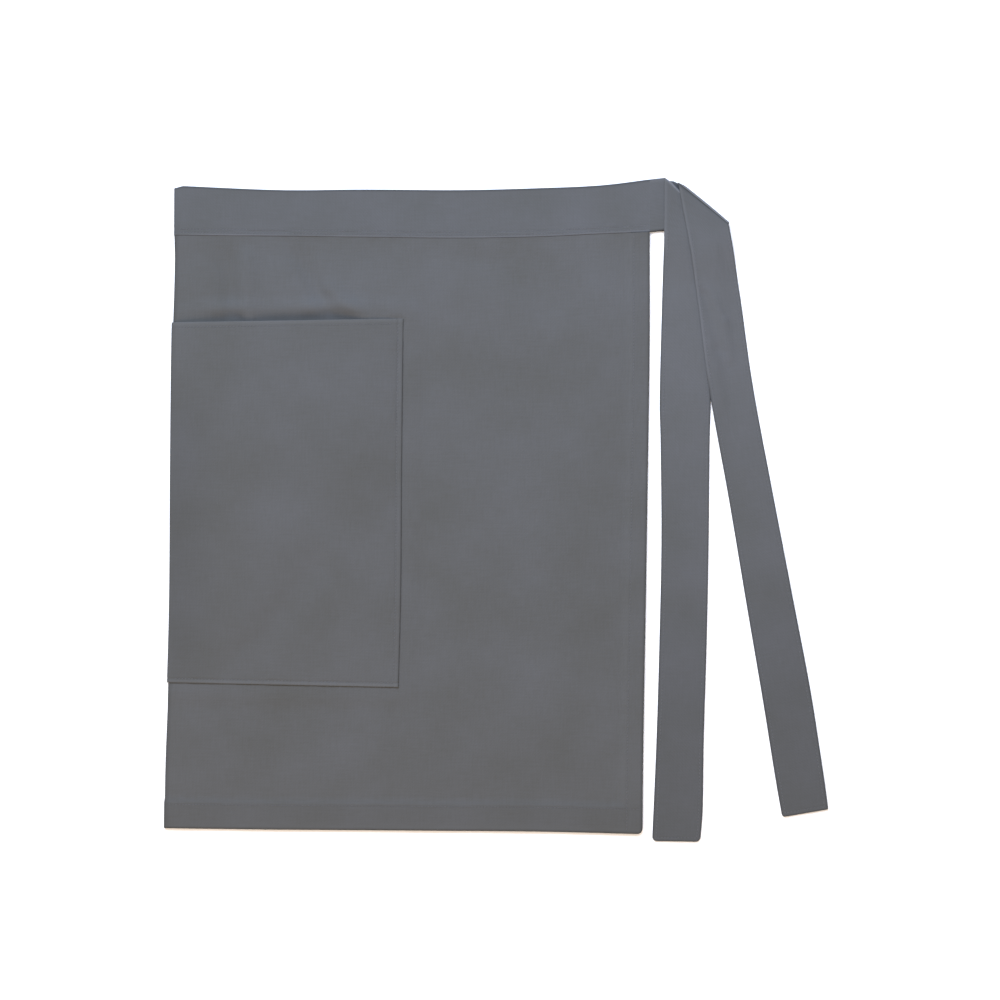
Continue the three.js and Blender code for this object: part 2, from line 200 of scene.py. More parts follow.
# The skirt stands up in a ridge just above the mouth and falls behind the pocket's front.
# at: share of the folded width, height: of the ridge in swells of the skirt, depth: share
# of the height that the fall behind the mouth takes away.
MOUTH_RIDGE = table(
    "at height depth",
    (0.000, 0.10, 0.10),
    (0.060, 0.30, 0.60),
    (0.105, 1.00, 1.00),
    (0.135, 1.00, 1.00),
    (0.155, 0.40, 0.20),
    (0.175, 0.30, 0.30),
    (0.210, 0.30, 0.65),
    (0.250, 0.40, 0.70),
    (0.295, 1.00, 0.95),
    (0.325, 0.90, 0.95),
    (0.385, 0.35, 0.60),
    (0.440, 0.00, 0.20),
    (0.520, 0.00, 0.00),
)
POCKET_FULLNESS = table(
    "at full",
    (0.00, 0.92),
    (0.20, 1.00),
    (0.38, 0.90),
    (0.60, 0.58),
    (0.80, 0.34),
    (0.93, 0.12),
    (1.00, 0.00),
)
# Furrows and ridges of the skirt: both ends in folded widths and apron lengths, half width
# in band heights, height in swells of the skirt.
SKIRT_CREASES = (
    (0.105, 0.10, 0.126, 0.23, 0.18, -1.2),
    (0.150, 0.10, 0.158, 0.22, 0.18, 0.8),
    (0.250, 0.08, 0.335, 0.215, 0.20, -1.2),
    (0.325, 0.158, 0.405, 0.205, 0.16, 0.9),
    (0.665, 0.09, 0.780, 0.15, 0.60, -0.8),
    (0.708, 0.28, 0.771, 0.335, 0.30, -0.22),
    (0.715, 0.60, 0.940, 0.605, 0.22, -0.16),
)
# Broad swells: middle and spread in the same shares, height in swells
SKIRT_BELLS = (
    (0.20, 0.16, 0.16, 0.06, 1.3),
    (0.42, 0.17, 0.12, 0.06, 1.1),
    (0.72, 0.14, 0.16, 0.07, 0.7),
    (0.70, 0.55, 0.14, 0.22, 0.4),
)
# Dents of the pocket's front, in shares of its half width and depth, half width in band
# heights, height in puffs of the pocket
POCKET_CREASES = (
    (0.62, 0.68, 0.32, 0.94, 0.36, -0.26),
    (0.20, 0.27, 0.22, 0.41, 0.50, -0.10),
)
# Slack of each cloth: patch size in millimetres, height and seed of each smooth drift
SKIRT_SLACK = ((46, 0.10, 3), (19, 0.06, 4))
POCKET_SLACK = ((52, 0.06, 21), (21, 0.025, 22))
BAND_SLACK = ((31, 0.25, 31), (12, 0.12, 32))
TIE_SLACK = ((37, 0.35, 0), (13, 0.12, 1))
# Where each tie turns down. near: ends of the last line before the turn, turn: ends of the
# fold, peak: how far its upper end is lifted, bow: of the fold, all in tie widths from the top
# corner at the band's end. lean: of the run off straight down. first: share of the run that
# eases into it. corners: radii of the free end. crease, line: dent and painted shadow line under
# the fold. lapped: share of the run whose left edge lies on cloth. shade: painted shade on what
# shows of the cloth before the turn. drape: creases in millimetres, as SKIRT_CREASES has them.
FRONT_TURN = {
    "near": ((0.16, 0.02), (0.75, -1.00)),
    "turn": ((0.26, -0.01), (1.28, -0.97)),
    "peak": (0.04, 0.045),
    "bow": 0.01,
    "lean": -0.015,
    "first": 0.06,
    "corners": (4.5, 4.5),
    "crease": 0.3,
    "line": 0.1,
    "lapped": 0.07,
    "shade": 0.0,
    "drape": (),
}
BACK_TURN = {
    "near": ((0.50, -0.03), (1.26, -1.00)),
    "turn": ((0.56, -0.10), (1.61, -0.96)),
    "peak": (0.0, 0.0),
    "bow": 0.01,
    "lean": 0.17,
    "first": 0.075,
    "corners": (3.0, 0.9),
    "crease": 0.9,
    "line": 0.5,
    "lapped": 0.28,
    "shade": 0.45,
    "drape": (
        (494.5, -99.1, 508.0, -151.4, 0.10, -1.3),
        (508.0, -151.4, 523.0, -202.8, 0.12, -1.0),
        (497.5, -94.4, 513.0, -125.2, 0.07, 1.0),
        (513.0, -125.2, 519.0, -160.0, 0.08, 1.0),
    ),
}
# Each tie's run below its turn: sway off a straight line and width, in tie widths
FRONT_RUN = table(
    "at sway width",
    (0.00, 0.03, 0.97),
    (0.05, 0.04, 1.00),
    (0.15, 0.04, 1.04),
    (0.31, 0.03, 1.06),
    (0.37, 0.04, 1.02),
    (0.53, 0.07, 0.98),
    (0.69, 0.06, 0.98),
    (0.84, 0.03, 0.98),
    (0.95, 0.01, 1.02),
    (1.00, -0.02, 1.00),
)
BACK_RUN = table(
    "at sway width",
    (0.00, 0.03, 0.86),
    (0.04, 0.05, 0.87),
    (0.16, 0.02, 0.89),
    (0.30, -0.04, 0.91),
    (0.48, -0.01, 0.92),
    (0.65, 0.01, 0.97),
    (0.81, 0.03, 1.01),
    (0.94, 0.01, 1.00),
    (1.00, 0.00, 0.97),
)
# Painted light and shade along both ties' run, as the light falls stronger on their upper part:
# painted shade just below the turn, paler further up and darker towards the free end. Paler
# where positive, darker where negative. at: share of the run.
TIE_SHADE = table(
    "at worn",
    (0.00, -0.10),
    (0.04, 0.04),
    (0.10, 0.15),
    (0.30, 0.12),
    (0.50, 0.03),
    (0.62, -0.04),
    (0.72, -0.12),
    (1.00, -0.15),
)


def mix(low, high, share):
    return low + (high - low) * share


def ease(value, low, high):
    """0 up to low, 1 from high, and smooth between them."""
    share = np.clip((value - low) / (high - low), 0, 1)
    return share * share * (3 - 2 * share)


def bell(distance, width):
    """1 at no distance, and almost nothing from twice the width."""
    return np.exp(-((distance / width) ** 2))


def read(rows, column, share):
    """A column of a table at a share, on a smooth curve through its rows."""
    at, value = rows["at"], rows[column]
    share = np.clip(share, at[0], at[-1])
    low = np.clip(np.searchsorted(at, share, side="right") - 1, 0, len(at) - 2)
    high = low + 1
    before, after = np.maximum(low - 1, 0), np.minimum(high + 1, len(at) - 1)
    span = at[high] - at[low]
    t = (share - at[low]) / span
    leave = (value[high] - value[before]) / (at[high] - at[before]) * span
    reach = (value[after] - value[low]) / (at[after] - at[low]) * span
    return (
        value[low] * (2 * t**3 - 3 * t**2 + 1)
        + value[high] * (3 * t**2 - 2 * t**3)
        + leave * (t**3 - 2 * t**2 + t)
        + reach * (t**3 - t**2)
    )


def crease_sum(creases, x, y, span_x, span_y):
    """Sum of straight creases at a place given in the shares that the table uses."""
    x, y = np.broadcast_arrays(np.asarray(x) * span_x, np.asarray(y) * span_y)
    total = np.zeros(x.shape)
    for from_x, from_y, to_x, to_y, width, height in creases:
        start = np.array([from_x * span_x, from_y * span_y])
        way = np.array([to_x * span_x, to_y * span_y]) - start
        along = ((x - start[0]) * way[0] + (y - start[1]) * way[1]) / (way @ way)
        along = np.clip(along, 0, 1)
        away = np.hypot(x - start[0] - along * way[0], y - start[1] - along * way[1])
        total = total + height * bell(away, width * BAND_HEIGHT)
    return total


def drift(x, y, size, seed):
    """Smooth wandering height between -1 and 1, in patches of a size in millimetres."""
    knots = np.random.default_rng(seed).uniform(-1, 1, (DRIFT_KNOTS, DRIFT_KNOTS))
    x, y = np.broadcast_arrays(np.asarray(x, float) / size, np.asarray(y, float) / size)
    col, row = np.floor(x).astype(int), np.floor(y).astype(int)
    across, up = ease(x - col, 0, 1), ease(y - row, 0, 1)

    def knot(right, above):
        return knots[(col + right) % DRIFT_KNOTS, (row + above) % DRIFT_KNOTS]

    return mix(mix(knot(0, 0), knot(1, 0), across), mix(knot(0, 1), knot(1, 1), across), up)


def slack(x, y, layers, seed=0):
    """Sum of the smooth drifts of a table."""
    return sum(height * drift(x, y, size, seed + own) for size, height, own in layers)


def round_off(distance, radius):
    """How far a corner of a radius is cut back at a distance from the edge it meets."""
    rest = np.clip(radius - distance, 0, radius)
    return radius - np.sqrt(radius**2 - rest**2)


def places(length, *marks, ends, cell=CELL, fine=()):
    """Distances along a length: about a cell apart, through each mark, closer round the
    stitch rows in fine, and closest at rounded ends."""
    keys = np.unique(np.round([0, *marks, length], 4))
    found = [
        np.linspace(low, high, max(int(round((high - low) / cell)), 1) + 1)
        for low, high in zip(keys, keys[1:])
    ]
    spots = np.unique(np.round(np.concatenate(found), 4))
    for row in fine:
        spots = spots[np.abs(spots - row) > ROW_CLEAR]
        spots = np.append(spots, row + np.array(ROW_LINES))
    for end, radius in zip((0, length), ends):
        if radius:
            rim = radius * np.array(RIM_LINES)
            spots = spots[np.abs(spots - end) > radius * RIM_CLEAR]
            spots = np.append(spots, rim if end == 0 else length - rim)
    return np.unique(np.round(np.append(spots, [0, length]), 4))


def rim_share(distance, radius):
    """Share of its thickness that a cloth keeps at a distance from its rounded edge."""
    rest = np.clip(1 - distance / radius, 0, 1)
    return np.sqrt(np.clip(1 - rest**2, THINNEST, 1))


def groove(distance, depth=0.08, width=0.75):
    """Depth that a stitch row pulls into the cloth."""
    return depth * bell(distance, width)


def painted_edge_shade(distance, width=1.3):
    """How much darker an outer edge is painted, as painted shade where the cloth turns away."""
    return 0.9 * bell(distance, width)


def pucker(along, away, seed, height=0.28, reach=7.0, pitch=11.0):
    """Small ripples that a stitch row draws up beside itself."""
    wave = drift(along, along * 0, pitch / 2, seed)
    return height * wave * bell(away, reach) * (1 - bell(away, 1.2))


def closed_mesh(name, points, faces):
    """A smooth mesh from points in millimetres on the apron's axes, its faces outwards."""
    mesh = bpy.data.meshes.new(name)
    mesh.from_pydata(((points + AXES_ORIGIN) * MM).tolist(), [], faces)
    shell = bmesh.new()
    shell.from_mesh(mesh)
    bmesh.ops.recalc_face_normals(shell, faces=shell.faces)
    shell.to_mesh(mesh)
    shell.free()
    mesh.polygons.foreach_set("use_smooth", [True] * len(mesh.polygons))
    return mesh


def add_piece(mesh, material):
    mesh.materials.append(material)
    piece = bpy.data.objects.new(mesh.name, mesh)
    bpy.context.scene.collection.objects.link(piece)
    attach(piece, "root")
    return piece


class Cloth:
    """A sheet as a grid: outer and inner points, the cloth's own coordinates, and its wear
    with painted light and shade.
    """

    def __init__(self, name, outer, inner, across, down, worn):
        self.name = name
        self.outer = outer
        self.inner = inner
        self.across = np.asarray(across, float)
        self.down = np.asarray(down, float)
        self.worn = worn

    def spot(self, across, down):
        """Points on the outer face at the cloth's own coordinates, in millimetres."""
        line = np.interp(across, self.across, np.arange(len(self.across)))
        point = np.interp(down, self.down, np.arange(len(self.down)))
        i = np.clip(line.astype(int), 0, len(self.across) - 2)
        j = np.clip(point.astype(int), 0, len(self.down) - 2)
        s, t = (line - i)[:, None], (point - j)[:, None]
        grid = self.outer
        low = mix(grid[i, j], grid[i + 1, j], s)
        high = mix(grid[i, j + 1], grid[i + 1, j + 1], s)
        return mix(low, high, t)

    def build(self, material, node, flat, slot):
        """The closed mesh of the sheet, as cloth that stands for its solid, which is hidden."""
        lines, points = self.outer.shape[:2]
        count = lines * points
        spots = np.concatenate([self.outer.reshape(-1, 3), self.inner.reshape(-1, 3)])
        index = np.arange(count).reshape(lines, points)

        def quads(a, b, c, d):
            return np.stack([a, b, c, d], -1).reshape(-1, 4)

        cells = (index[:-1, :-1], index[1:, :-1], index[1:, 1:], index[:-1, 1:])
        faces = [quads(*cells), quads(*(cell + count for cell in reversed(cells)))]
        for edge in (index[:, 0], index[-1, :], index[::-1, -1], index[0, ::-1]):
            a, b = edge[:-1], edge[1:]
            faces.append(quads(b, a, a + count, b + count))
        faces = np.concatenate(faces)

        mesh = closed_mesh(self.name, spots, faces.tolist())
        coords = np.stack(np.meshgrid(self.across, self.down, indexing="ij"), -1) * MM
        coords = np.concatenate([coords.reshape(-1, 2)] * 2) + np.array(UV_START)
        corners = np.empty(len(mesh.loops), np.int32)
        mesh.loops.foreach_get("vertex_index", corners)
        layer = mesh.uv_layers.new(name="cloth")
        layer.data.foreach_set("uv", coords[corners].ravel())
        worn = mesh.attributes.new("worn", "FLOAT", "POINT")
        worn.data.foreach_set("value", np.concatenate([self.worn.ravel()] * 2))
        mesh.set_sharp_from_angle(angle=SHARP)
        self.flat = flat
        self.piece = add_piece(mesh, material)
        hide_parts(node)


def folded_cloth(name, lower_across, upper_across, down, lower, upper, thick, worn):
    """A cloth folded about the left edge, from its lower free edge round to its upper one.
    lower and upper give each layer's outer face as x, y, z."""
    flat_low = lower_across[::-1]
    grids, insides = [], []

    def layer(across, face, way):
        x, y, z = face(across[:, None], down[None, :])
        solid = thick(across[:, None], down[None, :], way)
        outer = np.stack(np.broadcast_arrays(x, y, z), -1)
        inner = outer.copy()
        inner[..., 2] += way * solid
        grids.append(outer)
        insides.append(inner)

    def at_fold(values):
        return np.broadcast_to(values, (1, len(down)))[0]

    layer(flat_low, lower, 1)
    fold = np.zeros((1, 1)), down[None, :]
    x, y, z = (at_fold(values) for values in lower(*fold))
    radius = (at_fold(upper(*fold)[2]) - z) / 2
    solid = at_fold(thick(*fold, 1))
    arc = 0.0
    arc_across = []
    for step in range(ROUND_STEPS + 1):
        turn = math.pi * step / ROUND_STEPS
        outer = np.stack([x - radius * math.sin(turn), y, z + radius * (1 - math.cos(turn))], -1)
        inward = np.array([math.sin(turn), 0, math.cos(turn)])
        grids.append(outer[None])
        insides.append((outer + inward * solid[:, None])[None])
        arc_across.append(arc)
        arc += math.pi * radius.mean() / ROUND_STEPS
    layer(upper_across, upper, -1)
    arc_across = np.array(arc_across) - arc_across[-1]
    across = np.concatenate([-flat_low + arc_across[0], arc_across, upper_across])
    grid, inside = np.concatenate(grids), np.concatenate(insides)
    wear = np.broadcast_to(worn(across[:, None], down[None, :]), grid.shape[:2])
    return Cloth(name, grid, inside, across, down, np.ascontiguousarray(wear))


# Outline of the folded apron
def fold_at(y):
    return FOLDED_WIDTH * read(EDGE_LINES, "fold", -y / APRON_LENGTH)


def side_at(y):
    return FOLDED_WIDTH * (1 + read(EDGE_LINES, "side", -y / APRON_LENGTH))


def top_at(across):
    return BAND_HEIGHT * read(CROSS_LINES, "top", across)


def seam_at(across):
    return -BAND_HEIGHT * read(CROSS_LINES, "seam", across)


def hem_at(across):
    return -APRON_LENGTH * read(CROSS_LINES, "hem", across)


def mouth_at(along):
    return -POCKET_DROP + BAND_HEIGHT * read(POCKET_LINES, "mouth", along)


def bottom_at(along):
    return -POCKET_DROP - POCKET_DEPTH + BAND_HEIGHT * read(POCKET_LINES, "bottom", along)


def fold_middle(y):
    return fold_at(y) + FOLD_RADIUS


def over_pocket(x, y):
    """1 over the pocket's hidden half, easing to 0 outside it."""
    along = (x - fold_middle(y)) / POCKET_REACH
    beside = np.maximum(x - fold_middle(y) - POCKET_REACH, 0)
    above = np.maximum(y - mouth_at(along), 0)
    below = np.maximum(bottom_at(along) - y, 0)
    return 1 - ease(np.sqrt(beside**2 + above**2 + below**2), SLOPE_START, SLOPE_END)


def near_seam(across, y):
    return 1 - ease(seam_at(across) - y, 0, SLOPE_END)


def pocket_arch(wide):
    """Share of its puff that the pocket's front stands up to, across its width."""
    sewn = np.clip((POCKET_HALF - wide - POCKET_SIDE_ROW) / POCKET_HALF, 0, 1)
    return np.sin(math.pi * (1 - sewn)) ** 0.7 * ease(wide, *FROM_POCKET_FOLD)


def make_skirt():
    """The skirt: one cloth with turned hems, its upper layer in soft swells and furrows."""
    def place(wide, deep):
        across, share = wide / FOLDED_WIDTH, deep / BODY_LENGTH
        y = mix(seam_at(across) - SEAM_GAP, hem_at(across), share)
        side = side_at(y) - round_off(BODY_LENGTH - deep, SKIRT_CORNER)
        return mix(fold_middle(y), side, across), y

    def solid(wide, deep):
        from_side, from_hem = FOLDED_WIDTH - wide, BODY_LENGTH - deep
        in_hem = np.minimum(from_side - SIDE_HEM, from_hem - BOTTOM_HEM)
        return mix(HEM_CLOTH, PANEL_CLOTH, ease(in_hem, 0, HEM_STEP))

    def rim(wide, deep):
        return rim_share(np.minimum(FOLDED_WIDTH - wide, BODY_LENGTH - deep), SKIRT_RIM)

    def base(x, y, wide):
        lift = (POCKET_CLOTH + CLEARANCE) * over_pocket(x, y)
        return lift + (BAND_CLOTH - PANEL_CLOTH) / 2 * near_seam(wide / FOLDED_WIDTH, y)

    def lower(wide, deep):
        x, y = place(wide, deep)
        z = base(x, y, wide) + solid(wide, deep) / 2 * (1 - rim(wide, deep))
        return x, y, z

    def loose(x, y, wide):
        """Height of the upper layer's swells, which the pocket holds down below its mouth."""
        across, depth = wide / FOLDED_WIDTH, -y / APRON_LENGTH
        height = crease_sum(SKIRT_CREASES, across, depth, FOLDED_WIDTH, APRON_LENGTH)
        for middle_x, middle_y, spread_x, spread_y, rise in SKIRT_BELLS:
            away = ((across - middle_x) / spread_x) ** 2 + ((depth - middle_y) / spread_y) ** 2
            height = height + rise * np.exp(-away)
        height = height + slack(x, y, SKIRT_SLACK) + 0.05
        along = (x - fold_middle(y)) / POCKET_REACH
        above = y - mouth_at(along)
        ridge = bell(above - RIDGE_RISE, RIDGE_SPREAD)
        height = height + ridge * read(MOUTH_RIDGE, "height", across)
        behind = bell(np.maximum(above - 1, 0), MOUTH_SPREAD)
        fall = MOUTH_FALL * behind * read(MOUTH_RIDGE, "depth", across) * (along < 1)
        height = height * (1 - fall)
        inside = ease(above, -MOUTH_REACH, 0)
        under = np.where(along < 1, inside, 1)
        held = over_pocket(x, y) * (1 - under * inside)
        free = 1 - np.maximum(held, near_seam(across, y))
        height = SKIRT_SWELL * np.maximum(height, 0) * free * ease(x - fold_middle(y), 0, SLOPE_END)
        beside = ease(x - fold_middle(y) - POCKET_REACH, 0, SLOPE_START)
        room = 0.8 * POCKET_PUFF * pocket_arch(along * POCKET_HALF)
        open_room = 3 * POCKET_PUFF * np.maximum(ease(above, 0, SLOPE_START), beside)
        return np.minimum(height, room + open_room)

    def upper(wide, deep):
        x, y = place(wide, deep)
        across = wide / FOLDED_WIDTH
        seam_lift = (BAND_CLOTH - PANEL_CLOTH) * near_seam(across, y)
        seam_lift = seam_lift + SEAM_RISE * bell(deep, 2)
        z = base(x, y, wide) + 2 * solid(wide, deep) + CLEARANCE + seam_lift
        z = z + loose(x, y, wide)
        from_side, from_hem = FOLDED_WIDTH - wide, BODY_LENGTH - deep
        calm = ease(wide, *FROM_FOLD)
        gathers = pucker(x, deep, seed=11, height=0.5, reach=16, pitch=17)
        z = z + np.maximum(gathers, -0.2) * calm
        z = z + pucker(y, np.abs(from_side - SIDE_HEM_ROW), seed=12, height=0.2)
        z = z + pucker(x, np.abs(from_hem - BOTTOM_HEM_ROW), seed=13, height=0.2) * calm
        z = z - sunk(wide, deep) - solid(wide, deep) / 2 * (1 - rim(wide, deep))
        return x, y, z

    def sunk(wide, deep):
        side_row = groove(FOLDED_WIDTH - SIDE_HEM_ROW - wide)
        return np.maximum(side_row, groove(BODY_LENGTH - BOTTOM_HEM_ROW - deep))

    def thick(wide, deep, way):
        full = solid(wide, deep) * rim(wide, deep)
        return full if way > 0 else full - sunk(wide, deep)

    def worn(wide, deep):
        edge = np.minimum(FOLDED_WIDTH - wide, BODY_LENGTH - deep)
        from_hem = BODY_LENGTH - deep
        inside_hem = 1 - ease(from_hem, BOTTOM_HEM - 4, BOTTOM_HEM + 8)
        hem = HEM_SHADE * ease(from_hem, 2, 9) * inside_hem
        fold = painted_edge_shade(wide + FOLD_ARC / 2, width=1.8)
        x, y = place(wide, deep)
        above = y - mouth_at((x - fold_middle(y)) / POCKET_REACH)
        depth = read(MOUTH_RIDGE, "depth", wide / FOLDED_WIDTH)
        mouth = MOUTH_SHADE * bell(above - 2, MOUTH_SPREAD) * depth
        # Painted shade on the outer edges, the fold and just above the pocket's mouth; darker bottom
        # hem
        return -np.maximum(np.maximum(painted_edge_shade(edge), fold), hem) - mouth

    hem_marks = [FOLDED_WIDTH - SIDE_HEM - HEM_STEP, FOLDED_WIDTH - SIDE_HEM]
    upper_wide = places(
        FOLDED_WIDTH, *hem_marks, ends=(0, SKIRT_RIM), fine=[FOLDED_WIDTH - SIDE_HEM_ROW]
    )[1:]
    lower_wide = places(FOLDED_WIDTH, *hem_marks, cell=HIDDEN_CELL, ends=(0, SKIRT_RIM))[1:]
    deep = places(
        BODY_LENGTH,
        BODY_LENGTH - BOTTOM_HEM - HEM_STEP,
        BODY_LENGTH - BOTTOM_HEM,
        BODY_LENGTH - SKIRT_CORNER,
        BODY_LENGTH - SKIRT_CORNER * 0.6,
        BODY_LENGTH - SKIRT_CORNER * 0.3,
        ends=(0, SKIRT_RIM),
        fine=[BODY_LENGTH - BOTTOM_HEM_ROW],
    )
    return folded_cloth("skirt", lower_wide, upper_wide, deep, lower, upper, thick, worn)


def make_pocket():
    """The patch pocket: sewn at its sides and bottom, its front standing off the skirt."""
    def place(wide, deep):
        along = wide / POCKET_HALF
        y = mix(mouth_at(along), bottom_at(along), deep / POCKET_DEPTH)
        return fold_middle(y) + along * POCKET_REACH, y

    def rim(wide, deep):
        sewn = rim_share(np.minimum(POCKET_HALF - wide, POCKET_DEPTH - deep), POCKET_RIM)
        return np.minimum(sewn, rim_share(deep, POCKET_CLOTH / 2))

    def sunk(wide, deep):
        side = groove(POCKET_HALF - POCKET_SIDE_ROW - wide, depth=0.15)
        bottom = groove(POCKET_DEPTH - POCKET_BOTTOM_ROW - deep, depth=0.3)
        mouth = groove(POCKET_MOUTH_ROW - deep, depth=0.1)
        return np.maximum(np.maximum(side, bottom), mouth)

    def lower(wide, deep):
        x, y = place(wide, deep)
        return x, y, POCKET_CLOTH / 2 * (1 - rim(wide, deep)) + 0 * x

    def upper(wide, deep):
        x, y = place(wide, deep)
        along, share = wide / POCKET_HALF, deep / POCKET_DEPTH
        full = read(POCKET_FULLNESS, "full", share)
        dents = crease_sum(POCKET_CREASES, along, share, POCKET_HALF, POCKET_DEPTH)
        wander = slack(x, y, POCKET_SLACK) * ease(1 - share, 0, 0.2)
        z = 2 * POCKET_CLOTH + 2 * PANEL_CLOTH + 3 * CLEARANCE
        z = z + POCKET_PUFF * pocket_arch(wide) * np.maximum(full + dents + wander, 0)
        from_side = np.abs(POCKET_HALF - POCKET_SIDE_ROW - wide)
        from_bottom = np.abs(POCKET_DEPTH - POCKET_BOTTOM_ROW - deep)
        z = z + pucker(y, from_side, seed=23, height=0.3, reach=9)
        z = z + pucker(x, from_bottom, seed=24, height=0.3, reach=9) * ease(wide, *FROM_FOLD)
        z = z - sunk(wide, deep) - POCKET_CLOTH / 2 * (1 - rim(wide, deep))
        return x, y, z

    def thick(wide, deep, way):
        full = POCKET_CLOTH * rim(wide, deep)
        return full if way > 0 else full - sunk(wide, deep)

    def worn(wide, deep):
        # Pale lips at the bottom, mouth and side: partly wear, partly painted highlight
        bottom = 0.4 * bell(POCKET_DEPTH - 1.8 - deep, 1.1)
        mouth = 0.2 * bell(deep - 1.2, 1.8)
        side = 0.05 * bell(POCKET_HALF - 2.2 - wide, 1.2)
        # Painted shade on the side edge, round the fold and on the front beside the fold
        edge = 0.7 * painted_edge_shade(POCKET_HALF - wide, width=0.9)
        share = deep / POCKET_DEPTH
        beside_fold = POCKET_SHADE * (1 - ease(wide, 0, 55)) * ease(share, 0.1, 0.35)
        edge = np.maximum(edge, beside_fold * (1 - 0.5 * ease(share, 0.85, 1)))
        dark = np.maximum(painted_edge_shade(wide + POCKET_ARC / 2, width=2.4), edge)
        return np.maximum.reduce(np.broadcast_arrays(bottom, mouth, side)) - dark

    upper_wide = places(
        POCKET_HALF, ends=(0, POCKET_RIM), fine=[POCKET_HALF - POCKET_SIDE_ROW]
    )[1:]
    lower_wide = places(POCKET_HALF, cell=HIDDEN_CELL, ends=(0, POCKET_RIM))[1:]
    rows = [POCKET_MOUTH_ROW, POCKET_DEPTH - POCKET_BOTTOM_ROW]
    deep = places(POCKET_DEPTH, ends=(POCKET_CLOTH / 2, POCKET_RIM), fine=rows)
    return folded_cloth("pocket_front", lower_wide, upper_wide, deep, lower, upper, thick, worn)


def make_band():
    """The waistband: doubled cloth with a folded upper edge, folded with the skirt."""
    radius = BAND_CLOTH / 2

    def place(wide, deep):
        across = wide / FOLDED_WIDTH
        top = top_at(across) - BAND_CORNER_DROP * (1 - ease(wide, 0, BAND_CORNER_WIDTH))
        y = mix(top, seam_at(across), deep / BAND_HEIGHT)
        return mix(fold_middle(y), side_at(y), across), y

    def rim(deep):
        return np.minimum(rim_share(deep, radius), rim_share(BAND_HEIGHT - deep, BAND_EDGE))

    def sunk(deep):
        rows = [groove(BAND_HEIGHT - row - deep, depth=0.1) for row in BAND_ROWS]
        return np.maximum(*rows)

    def lower(wide, deep):
        x, y = place(wide, deep)
        return x, y, radius * (1 - rim(deep)) + 0 * x

    def upper(wide, deep):
        x, y = place(wide, deep)
        z = 2 * BAND_CLOTH + CLEARANCE + 0 * x
        calm = ease(wide, *FROM_BAND_END) * ease(FOLDED_WIDTH - wide, *FROM_BAND_END)
        from_rows = np.abs(BAND_HEIGHT - 4 - deep)
        ripple = pucker(x, from_rows, seed=33, height=0.3, reach=8, pitch=13)
        z = z + calm * (slack(x, y, BAND_SLACK) + 0.15 + ripple)
        z = z - sunk(deep) - radius * (1 - rim(deep))
        return x, y, z

    def thick(wide, deep, way):
        full = BAND_CLOTH * rim(deep) + 0 * wide
        return full if way > 0 else full - sunk(deep)

    def worn(wide, deep):
        # Pale lower edge: partly wear, partly painted highlight. Painted shade on the outer edges
        patchy = 0.35 + 0.25 * drift(wide, deep * 0, size=26, seed=34)
        dark = np.maximum(painted_edge_shade(deep), painted_edge_shade(wide + BAND_ARC / 2, width=2.2))
        return patchy * bell(BAND_HEIGHT - 0.6 - deep, 1.2) - dark

    upper_wide = places(FOLDED_WIDTH, ends=(0, 0))[1:]
    lower_wide = places(FOLDED_WIDTH, cell=HIDDEN_CELL, ends=(0, 0))[1:]
    rows = [BAND_HEIGHT - row for row in BAND_ROWS]
    deep = places(BAND_HEIGHT, cell=BAND_CELL, ends=(radius, BAND_EDGE), fine=rows)
    return folded_cloth("band", lower_wide, upper_wide, deep, lower, upper, thick, worn)


# The ties' turns lie one inside the other: heights of each underside before and after its turn
LAYER = TIE_CLOTH + CLEARANCE
BACK_LEVEL = {"root": (BAND_CLOTH - TIE_CLOTH) / 2, "before": 0, "after": 3 * LAYER}
FRONT_LEVEL = {
    "root": BAND_CLOTH + CLEARANCE + BAND_CLOTH - TIE_CLOTH,
    "before": LAYER,
    "after": 2 * LAYER,
}
ROOT = np.array([side_at(0.0) + ROOT_GAP, top_at(1.0)])
END_SEAM = float(seam_at(1.0))


def corner_place(point):
    return np.array(point) * TIE_WIDTH + ROOT


def run_length(shape, length):
    high, low = (corner_place(p) for p in shape["turn"])
    start = np.array([ROOT[0], (ROOT[1] + END_SEAM) / 2])
    return length - np.linalg.norm(start - (high + low) / 2)


def run_edges(shape, run, length, share):
    """Left and right edge of a tie's run at a share of it."""
    ahead = np.array([shape["lean"], -1.0])
    ahead /= np.linalg.norm(ahead)
    right = np.array([-ahead[1], ahead[0]])
    high, low = (corner_place(p) for p in shape["turn"])
    share = np.asarray(share, float)[..., None]
    whole = run_length(shape, length)
    middle = (high + low) / 2 + ahead * share * whole
    middle = middle + right * TIE_WIDTH * read(run, "sway", share)
    half = TIE_WIDTH * read(run, "width", share) / 2
    left_cut, right_cut = (round_off((1 - share) * whole, corner) for corner in shape["corners"])
    return middle - right * (half - left_cut), middle + right * (half - right_cut)


def beside_band(y, reach):
    return 1 - ease(END_SEAM - y, CLEARANCE, reach)


def under_front(x, y):
    return FRONT_LEVEL["after"] * beside_band(y, 2 * SLOPE_END)


def under_back(x, y):
    top = run_edges(FRONT_TURN, FRONT_RUN, FRONT_TIE_LENGTH, 0.0)[1]
    share = np.maximum((top[1] - y) / run_length(FRONT_TURN, FRONT_TIE_LENGTH), 0)
    share = np.minimum(share, 0.99)
    beyond = x - run_edges(FRONT_TURN, FRONT_RUN, FRONT_TIE_LENGTH, share)[1][..., 0]
    on_front = 1 - ease(beyond, SLOPE_START / 4, SLOPE_END)
    on_turn = BACK_LEVEL["after"] * beside_band(y, 2 * SLOPE_END)
    return np.maximum(on_turn, (under_front(x, y + SLOPE_START) + LAYER) * on_front)


def level_at(rise):
    """A height that is the same all across a tie."""
    return lambda spot: np.full(len(spot), float(rise))


